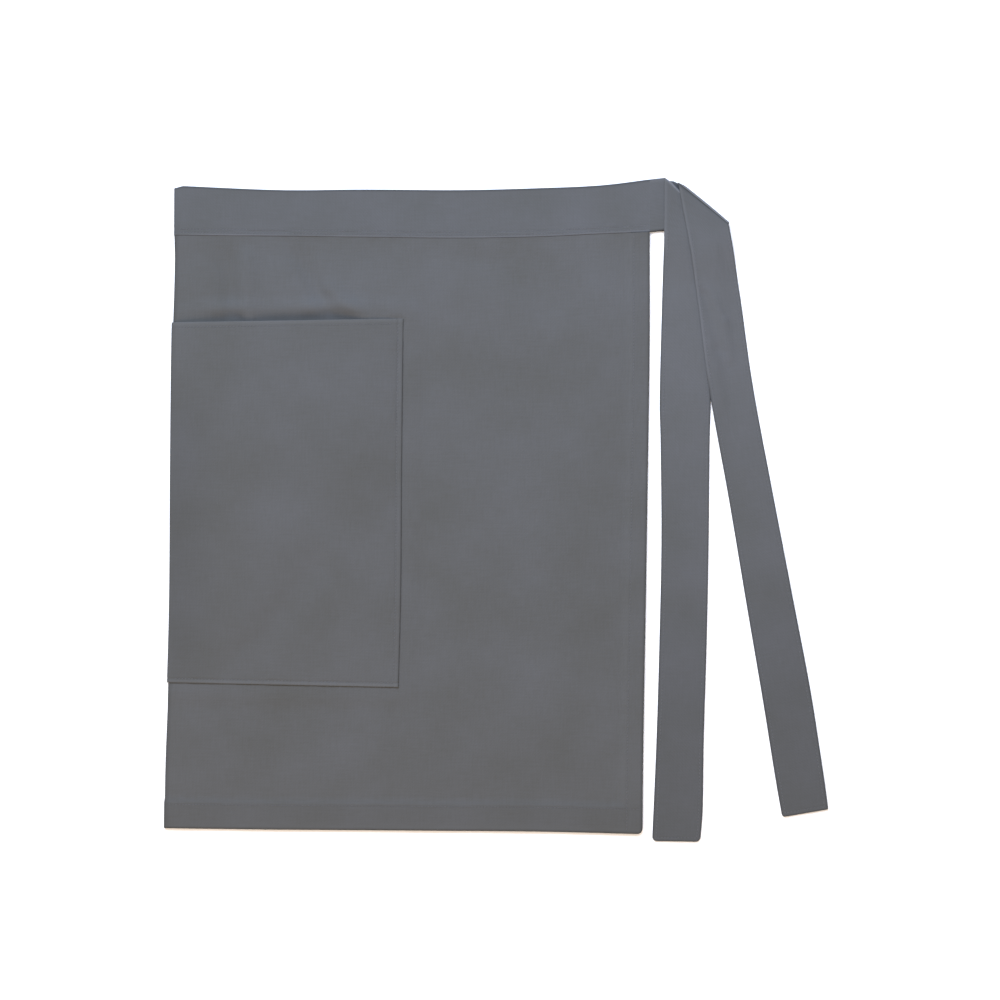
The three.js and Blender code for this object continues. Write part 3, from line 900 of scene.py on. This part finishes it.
def make_tie(name, shape, run, length, level, underside, seed):
    """A tie: from the band's end to its slanting fold, round it, and down its run."""
    radius = TIE_CLOTH / 2
    rows = [TIE_ROW, TIE_WIDTH - TIE_ROW]
    side = places(TIE_WIDTH, ends=(radius, radius), fine=rows)
    share = side / TIE_WIDTH
    outer, inner, along = [], [], []

    def add(left, right, height, inward, place, bow=0.0, push=0.0, end=math.inf):
        """A line across the tie, from its left edge, where it is pushed less, to its right."""
        spot = left + (right - left) * share[:, None]
        spot = spot + np.sin(math.pi * share)[:, None] * bow
        spot = spot + mix(0.3, 1, ease(side, 0, 6))[:, None] * push
        nearest = np.minimum(np.minimum(side, TIE_WIDTH - side), end)
        rim = rim_share(nearest, radius)
        dent = np.maximum(groove(side - rows[0]), groove(side - rows[1]))
        if end < math.inf:
            dent = np.maximum(dent, groove(end - TIE_ROW, depth=0.12))
        face = np.column_stack([spot, height(spot)])
        pulled = radius * (1 - rim) + dent * (inward[2] < -0.9)
        outer.append(face + inward * pulled[:, None])
        inner.append(face + inward * (TIE_CLOTH - radius * (1 - rim))[:, None])
        along.append(place)

    up, down = np.array([0.0, 0.0, 1.0]), np.array([0.0, 0.0, -1.0])
    root = (ROOT, np.array([ROOT[0], END_SEAM]))
    near = tuple(corner_place(p) for p in shape["near"])
    high, low = (corner_place(p) for p in shape["turn"])
    high = high + np.array(shape["peak"]) * TIE_WIDTH
    root_length = float(np.linalg.norm(near[0] - root[0]))
    for step in range(ROOT_STEPS + 1):
        part = step / ROOT_STEPS
        rise = mix(level["root"], level["before"], ease(part, 0, 1))
        ends = [mix(start, end, part) for start, end in zip(root, near)]
        add(*ends, level_at(rise), up, part * root_length)
    place = root_length + float(np.linalg.norm((high + low - near[0] - near[1]) / 2))

    outward = low - high
    outward = np.array([-outward[1], outward[0]]) / np.linalg.norm(outward)
    bow = outward * shape["bow"] * TIE_WIDTH
    turn_radius = (level["after"] - level["before"] + TIE_CLOTH) / 2
    flat_radius = min(turn_radius, TURN_LIP)
    high, low = (p + outward * (turn_radius - flat_radius) for p in (high, low))
    for step in range(ROUND_STEPS + 1):
        turn = math.pi * step / ROUND_STEPS
        inward = np.array([*(-math.sin(turn) * outward), math.cos(turn)])
        shift = outward * flat_radius * math.sin(turn)
        rise = level["before"] + turn_radius * (1 - math.cos(turn))
        add(high, low, level_at(rise), inward, place, bow, shift)
        place += math.pi * turn_radius / ROUND_STEPS

    whole = run_length(shape, length)
    start = place

    def top(spot):
        x, y = spot[:, 0], spot[:, 1]
        z = underside(x, y) + TIE_CLOTH
        inside = (high - spot) @ outward
        z = z - shape["crease"] * bell(inside - 0.5, 0.5)
        z = np.maximum(z + crease_sum(shape["drape"], x, y, 1, 1), TIE_CLOTH)
        ripple = slack(x, y, TIE_SLACK, seed) + 0.3
        return z + ripple * ease(high[1] - y, *FROM_TURN)

    first = run_edges(shape, run, length, shape["first"])
    begin = shape["first"] * whole
    for part in TURN_LINES:
        ends = mix(high, first[0], part), mix(low, first[1], part)
        add(*ends, top, down, start + part * begin, bow * (1 - part))
    for spot in places(whole - begin, ends=(0, radius), fine=[whole - begin - TIE_ROW]):
        part = (begin + spot) / whole
        left, right = run_edges(shape, run, length, part)
        add(left, right, top, down, start + begin + spot, end=whole - begin - spot)
    outer, inner, along = np.array(outer), np.array(inner), np.array(along)
    edge = np.minimum(side, TIE_WIDTH - side)
    edge = np.minimum(edge[None, :], along[-1] - along[:, None])
    run_share = (along - start) / whole
    lapped = 1 - ease(run_share, shape["lapped"] - 0.02, shape["lapped"] + 0.02)
    lapped = lapped[:, None] * (side < TIE_WIDTH / 2)
    # Pale line inside each edge: wear and painted highlight. Painted shade on the free edges
    worn = 0.08 * bell(edge - 2.2, 1.0) - 0.8 * painted_edge_shade(edge) * (1 - lapped)
    # Painted highlight on a left edge that lies on cloth
    worn = worn + 0.2 * lapped * bell(edge - 1.2, 1.2)
    # Painted highlight on the fold's lip and a painted shadow line under it
    lip = bell(along - start + turn_radius / 2, 1.6)
    line = shape["line"] * bell(along - start - 1.2, 0.9)
    # Painted light and shade down the run from TIE_SHADE, painted shade on the cloth before the turn
    hidden = 1 - ease(along, start - 2 * math.pi * turn_radius, start - turn_radius * 2)
    shade = read(TIE_SHADE, "worn", run_share) * ease(along, start - turn_radius, start) - line
    worn = worn + (lip + shade - shape["shade"] * hidden)[:, None]
    return Cloth(name, outer, inner, along, side, worn)


def linear(hex_colour):
    """An sRGB hex colour as linear red, green, blue and alpha."""
    parts = [int(hex_colour[i : i + 2], 16) / 255 for i in (1, 3, 5)]
    return [c / 12.92 if c <= 0.04045 else ((c + 0.055) / 1.055) ** 2.4 for c in parts] + [1.0]


def add_node(tree, kind, links=(), **settings):
    """A node with its settings, and links as (input, other node, its output)."""
    node = tree.nodes.new(kind)
    for key, value in settings.items():
        if key in ("ins", "stops"):
            continue
        setattr(node, key, value)
    for key, value in settings.get("ins", {}).items():
        node.inputs[key].default_value = value
    for index, (position, value) in enumerate(settings.get("stops", ())):
        stops = node.color_ramp.elements
        stop = stops[index] if index < len(stops) else stops.new(position)
        stop.position, stop.color = position, value
    for target, other, output in links:
        tree.links.new(other.outputs[output], node.inputs[target])
    return node


MATH = "ShaderNodeMath"


def plain_material(name, **values):
    material = bpy.data.materials.new(name)
    material.use_nodes = True
    shader = material.node_tree.nodes["Principled BSDF"]
    for key, value in values.items():
        shader.inputs[key].default_value = value
    return material, material.node_tree, shader


def cotton_twill(name, dark, light, wear_and_highlight_colour, painted_shade_colour, turned=False):
    """Dyed cotton twill, woven, washed and pressed: a matt face with a faint diagonal rib,
    yarns of slightly uneven dye, broad soft changes of tone and paler pressed edges, partly wear
    and partly painted highlight. Painted shade darkens its edges, folds, the pocket's mouth and
    parts of the ties, and the bottom hem is painted darker.
    The real rib is 0.6 mm apart. It is drawn at 2.2 mm, so that it shows at all."""
    rib, yarn = 2.2 * MM, 1.2 * MM
    slub_wide, slub_long, patch = 1.6129 * MM, 16.667 * MM, 71.43 * MM
    material, tree, shader = plain_material(
        name, **{"Roughness": 0.88, "Specular IOR Level": 0.25, "Sheen Weight": 0.12}
    )
    shader.inputs["Sheen Roughness"].default_value = 0.45
    coords = add_node(tree, "ShaderNodeUVMap", uv_map="cloth")
    quarter = math.pi / 2 if turned else 0.0
    laid = add_node(
        tree, "ShaderNodeMapping", [("Vector", coords, 0)], ins={"Rotation": (0, 0, quarter)}
    )
    # A band pattern repeats every pi / 10 of its coordinate, and a diagonal one every
    # pi / 5 along x, which is that over the root of 2 square to the bands.
    ribs = add_node(
        tree,
        "ShaderNodeTexWave",
        [("Vector", laid, 0)],
        wave_type="BANDS",
        bands_direction="DIAGONAL",
        ins={
            "Scale": math.pi / 5 / math.sqrt(2) / rib,
            "Distortion": 0.6,
            "Detail": 1.0,
            "Detail Scale": 1.5,
        },
    )
    yarns = add_node(
        tree,
        "ShaderNodeTexWave",
        [("Vector", laid, 0)],
        wave_type="BANDS",
        bands_direction="Y",
        ins={"Scale": math.pi / 10 / yarn, "Distortion": 1.5, "Detail": 1.0},
    )
    slubs = []
    for along_x, along_y in ((slub_long, slub_wide), (slub_wide, slub_long)):
        scale = (1 / along_x, 1 / along_y, 1)
        stretch = add_node(tree, "ShaderNodeMapping", [("Vector", laid, 0)], ins={"Scale": scale})
        noise = {"Scale": 1.0, "Detail": 3.0}
        slubs.append(add_node(tree, "ShaderNodeTexNoise", [("Vector", stretch, 0)], ins=noise))
    patches = add_node(
        tree, "ShaderNodeTexNoise", [("Vector", laid, 0)], ins={"Scale": 1 / patch, "Detail": 2.0}
    )
    threads = add_node(tree, MATH, [(0, slubs[0], 0), (1, slubs[1], 0)], operation="ADD")
    # Shares of the shade: the yarns, the broad patches and the rib
    yarn_part = add_node(tree, MATH, [(0, threads, 0)], operation="MULTIPLY", ins={1: 0.18})
    patch_part = add_node(
        tree, MATH, [(0, patches, 0), (2, yarn_part, 0)], operation="MULTIPLY_ADD", ins={1: 0.36}
    )
    shade = add_node(
        tree, MATH, [(0, ribs, "Fac"), (2, patch_part, 0)], operation="MULTIPLY_ADD", ins={1: 0.04}
    )
    colour = add_node(
        tree,
        "ShaderNodeValToRGB",
        [("Fac", shade, 0)],
        stops=[(0.19, linear(dark)), (0.59, linear(light))],
    )
    worn = add_node(tree, "ShaderNodeAttribute", attribute_name="worn")
    # Paler where the attribute is positive, for wear and painted highlight, and darker where it is
    # negative, for painted shade and the darker bottom hem. Inputs 6 and 7 of a colour mix are its
    # two colours, and output 2 is the mixed one.
    output = 0
    for strength, tone in ((0.7, wear_and_highlight_colour), (-0.8, painted_shade_colour)):
        part = add_node(
            tree, MATH, [(0, worn, "Fac")], operation="MULTIPLY", use_clamp=True, ins={1: strength}
        )
        colour = add_node(
            tree,
            "ShaderNodeMix",
            [("Factor", part, 0), (6, colour, output)],
            data_type="RGBA",
            ins={7: linear(tone)},
        )
        output = 2
    tree.links.new(colour.outputs[output], shader.inputs["Base Color"])
    raised = add_node(
        tree, MATH, [(0, yarns, "Fac"), (2, ribs, "Fac")], operation="MULTIPLY_ADD", ins={1: 0.35}
    )
    height = add_node(
        tree, MATH, [(0, threads, 0), (2, raised, 0)], operation="MULTIPLY_ADD", ins={1: 0.3}
    )
    bump = add_node(
        tree,
        "ShaderNodeBump",
        [("Height", height, 0)],
        ins={"Strength": 0.2, "Distance": 0.11 * MM},
    )
    tree.links.new(bump.outputs[0], shader.inputs["Normal"])
    return material


def spun_thread(name, shade):
    """Spun polyester sewing thread, dyed to match: a soft sheen and a fine twist, drawn
    at 0.5 mm where the real one is 0.3 mm."""
    material, tree, shader = plain_material(
        name, **{"Roughness": 0.6, "Specular IOR Level": 0.4, "Sheen Weight": 0.2}
    )
    coords = add_node(tree, "ShaderNodeTexCoord")
    twist = add_node(
        tree,
        "ShaderNodeTexWave",
        [("Vector", coords, "Object")],
        bands_direction="DIAGONAL",
        ins={"Scale": math.pi / 5 / math.sqrt(2) / (0.5 * MM), "Distortion": 0.5},
    )
    colour = add_node(
        tree,
        "ShaderNodeValToRGB",
        [("Fac", twist, "Fac")],
        stops=[(0.0, linear(shade[0])), (1.0, linear(shade[1]))],
    )
    tree.links.new(colour.outputs[0], shader.inputs["Base Color"])
    return material


def stitch_row(cloth, *corners):
    """Points of the stitches along straight lines in the cloth's own coordinates."""
    spots = []
    for (a0, d0), (a1, d1) in zip(corners, corners[1:]):
        count = max(int(math.hypot(a1 - a0, d1 - d0)), 2)
        t = np.linspace(0, 1, count)
        spots.append(np.column_stack([mix(a0, a1, t), mix(d0, d1, t)]))
    line = np.concatenate(spots)
    path = cloth.spot(line[:, 0], line[:, 1])
    gone = np.concatenate([[0], np.cumsum(np.linalg.norm(np.diff(path, axis=0), axis=1))])
    keep = np.concatenate([[True], np.diff(gone) > 1e-6])
    path, gone, line = path[keep], gone[keep], line[keep]
    middles = np.arange(STITCH_PITCH / 2, gone[-1] - STITCH_PITCH / 2, STITCH_PITCH)

    def along(distance):
        return np.column_stack([np.interp(distance, gone, path[:, k]) for k in range(3)])

    here = along(middles)
    ahead = along(middles + 1) - along(middles - 1)
    ahead /= np.linalg.norm(ahead, axis=1)[:, None]
    wide, deep = (np.interp(middles, gone, line[:, k]) for k in range(2))
    near = SLOPE_SPAN / 2
    east = cloth.spot(wide + near, deep) - cloth.spot(wide - near, deep)
    south = cloth.spot(wide, deep + near) - cloth.spot(wide, deep - near)
    rise = np.cross(south, east)
    rise *= np.sign(rise[:, 2])[:, None]
    rise /= np.linalg.norm(rise, axis=1)[:, None]
    across = np.cross(rise, ahead)
    rings = []
    for place, high, size in STITCH_RINGS:
        centre = here + ahead * place * STITCH_LENGTH + rise * high * THREAD_RADIUS
        reach = THREAD_RADIUS * size
        for side in range(THREAD_SIDES):
            turn = 2 * math.pi * side / THREAD_SIDES
            rings.append(centre + across * math.cos(turn) * reach + rise * math.sin(turn) * reach)
    return np.stack(rings, 1).reshape(-1, 3)


def stitches(name, material, rows):
    """One piece of many stitches, each a short bent thread with closed ends."""
    points = np.concatenate(rows)
    each = len(STITCH_RINGS) * THREAD_SIDES
    faces = []
    for first in range(0, len(points), each):
        for ring in range(len(STITCH_RINGS) - 1):
            for side in range(THREAD_SIDES):
                a = first + ring * THREAD_SIDES + side
                b = first + ring * THREAD_SIDES + (side + 1) % THREAD_SIDES
                faces.append((a, b, b + THREAD_SIDES, a + THREAD_SIDES))
        faces.append(tuple(range(first + THREAD_SIDES - 1, first - 1, -1)))
        last = first + each - THREAD_SIDES
        faces.append(tuple(range(last, last + THREAD_SIDES)))
    return add_piece(closed_mesh(name, points, faces), material)


skirt = make_skirt()
pocket = make_pocket()
band = make_band()
front_tie = make_tie(
    "front_tie_cloth", FRONT_TURN, FRONT_RUN, FRONT_TIE_LENGTH, FRONT_LEVEL, under_front, 41
)
back_tie = make_tie(
    "back_tie_cloth", BACK_TURN, BACK_RUN, BACK_TIE_LENGTH, BACK_LEVEL, under_back, 51
)

# Colours: dark and light yarns, the pale colour of wear and painted highlight, the painted shade
skirt_twill = cotton_twill("cotton_twill", "#464643", "#515254", "#66686a", "#292927")
band_twill = cotton_twill(
    "cotton_twill_band", "#464745", "#515255", "#68696d", "#292a2c", turned=True
)
thread = spun_thread("polyester_thread", ("#434446", "#535456"))

skirt.build(skirt_twill, "body_panel", (0.886, 0.555), "twill")
pocket.build(skirt_twill, "pocket", (0.430, 0.342), "twill")
band.build(band_twill, "waistband", (0.886, 0.045), "band_twill")
front_tie.build(band_twill, "front_tie", (0.045, 0.631), "band_twill")
back_tie.build(band_twill, "back_tie", (0.045, 0.625), "band_twill")

side_row, hem_row = FOLDED_WIDTH - SIDE_HEM_ROW, BODY_LENGTH - BOTTOM_HEM_ROW
skirt_seams = stitches("skirt_stitches", thread, [
    stitch_row(skirt, (side_row, CORNER_MARGIN), (side_row, BODY_LENGTH - CORNER_MARGIN)),
    stitch_row(skirt, (FOLD_MARGIN, hem_row), (FOLDED_WIDTH - CORNER_MARGIN, hem_row)),
])
side_row, bottom_row = POCKET_HALF - POCKET_SIDE_ROW, POCKET_DEPTH - POCKET_BOTTOM_ROW
mouth_row = POCKET_MOUTH_ROW
pocket_seams = stitches("pocket_stitches", thread, [
    stitch_row(pocket, (side_row, FOLD_MARGIN), (side_row, bottom_row), (FOLD_MARGIN, bottom_row)),
    stitch_row(pocket, (FOLD_MARGIN, mouth_row), (side_row - CORNER_MARGIN, mouth_row)),
])
band_seams = stitches("band_stitches", thread, [
    stitch_row(band, (FOLD_MARGIN, BAND_HEIGHT - row), (FOLDED_WIDTH - FOLD_MARGIN, BAND_HEIGHT - row))
    for row in BAND_ROWS
])


def tie_stitches(name, cloth):
    """Stitches down both edges of a tie's run and across its free end."""
    start = cloth.across[ROOT_STEPS + 1 + ROUND_STEPS] + TURN_MARGIN
    end = cloth.across[-1] - TIE_ROW
    left, right = TIE_ROW, TIE_WIDTH - TIE_ROW
    row = stitch_row(cloth, (start, left), (end, left), (end, right), (start, right))
    return stitches(name, thread, [row])


front_seams = tie_stitches("front_tie_stitches", front_tie)
back_seams = tie_stitches("back_tie_stitches", back_tie)

# The floor: a smooth painted board, pale and matt
FLOOR_SIZE = 12
FLOOR_DROP = 0.0002
bpy.ops.object.select_all(action="DESELECT")
bpy.ops.mesh.primitive_plane_add(size=FLOOR_SIZE, location=(0, 0, -FLOOR_DROP))
floor = bpy.context.active_object
floor.name = "floor"
bpy.ops.object.transform_apply(location=True, rotation=True, scale=True)
paint, _, _ = plain_material(
    "matt_paint", **{"Base Color": linear("#fcfcfc"), "Roughness": 0.9, "Specular IOR Level": 0.1}
)
floor.data.materials.append(paint)


def soft_light(name, place, aim, size, power, colour):
    lamp = bpy.data.lights.new(name, "AREA")
    lamp.shape, lamp.size, lamp.energy = "SQUARE", size, power
    lamp.color = linear(colour)[:3]
    holder = bpy.data.objects.new(name, lamp)
    bpy.context.scene.collection.objects.link(holder)
    holder.location = place
    holder.rotation_euler = (Vector(aim) - Vector(place)).to_track_quat("-Z", "Y").to_euler()


# The lights are strong, so that the pale floor comes out white all over, and the cloth's
# colours above are that much darker than they look.
soft_light("key", place=(-0.9, 1.9, 2.1), aim=(0, 0, 0), size=2.0, power=136, colour="#d1e4ff")
soft_light("fill", place=(-0.45, -1.5, 1.5), aim=(-0.1, -0.1, 0), size=1.4, power=25, colour="#ffe4c8")
soft_light("near", place=(0.28, 0.55, 0.75), aim=(0.15, 0.1, 0), size=0.5, power=3.8, colour="#d6e2ff")

world = bpy.data.worlds.new("studio")
world.use_nodes = True
world.node_tree.nodes["Background"].inputs["Color"].default_value = linear("#fff5ea")
world.node_tree.nodes["Background"].inputs["Strength"].default_value = 0.61
bpy.context.scene.world = world

# The camera looks straight down. The photograph is 934.6 mm wide at the cloth.
VIEW_WIDTH = 0.9346
VIEW_MIDDLE = (0.00355, 0.00963)
CAMERA_HEIGHT = 2.6
lens = bpy.data.cameras.new("camera")
lens.sensor_width = 36
lens.lens = lens.sensor_width * CAMERA_HEIGHT / VIEW_WIDTH
lens.clip_end = 50
camera = bpy.data.objects.new("camera", lens)
bpy.context.scene.collection.objects.link(camera)
camera.location = (*VIEW_MIDDLE, CAMERA_HEIGHT)
bpy.context.scene.camera = camera
bpy.context.scene.view_settings.view_transform = "Standard"

bpy.context.view_layer.update()
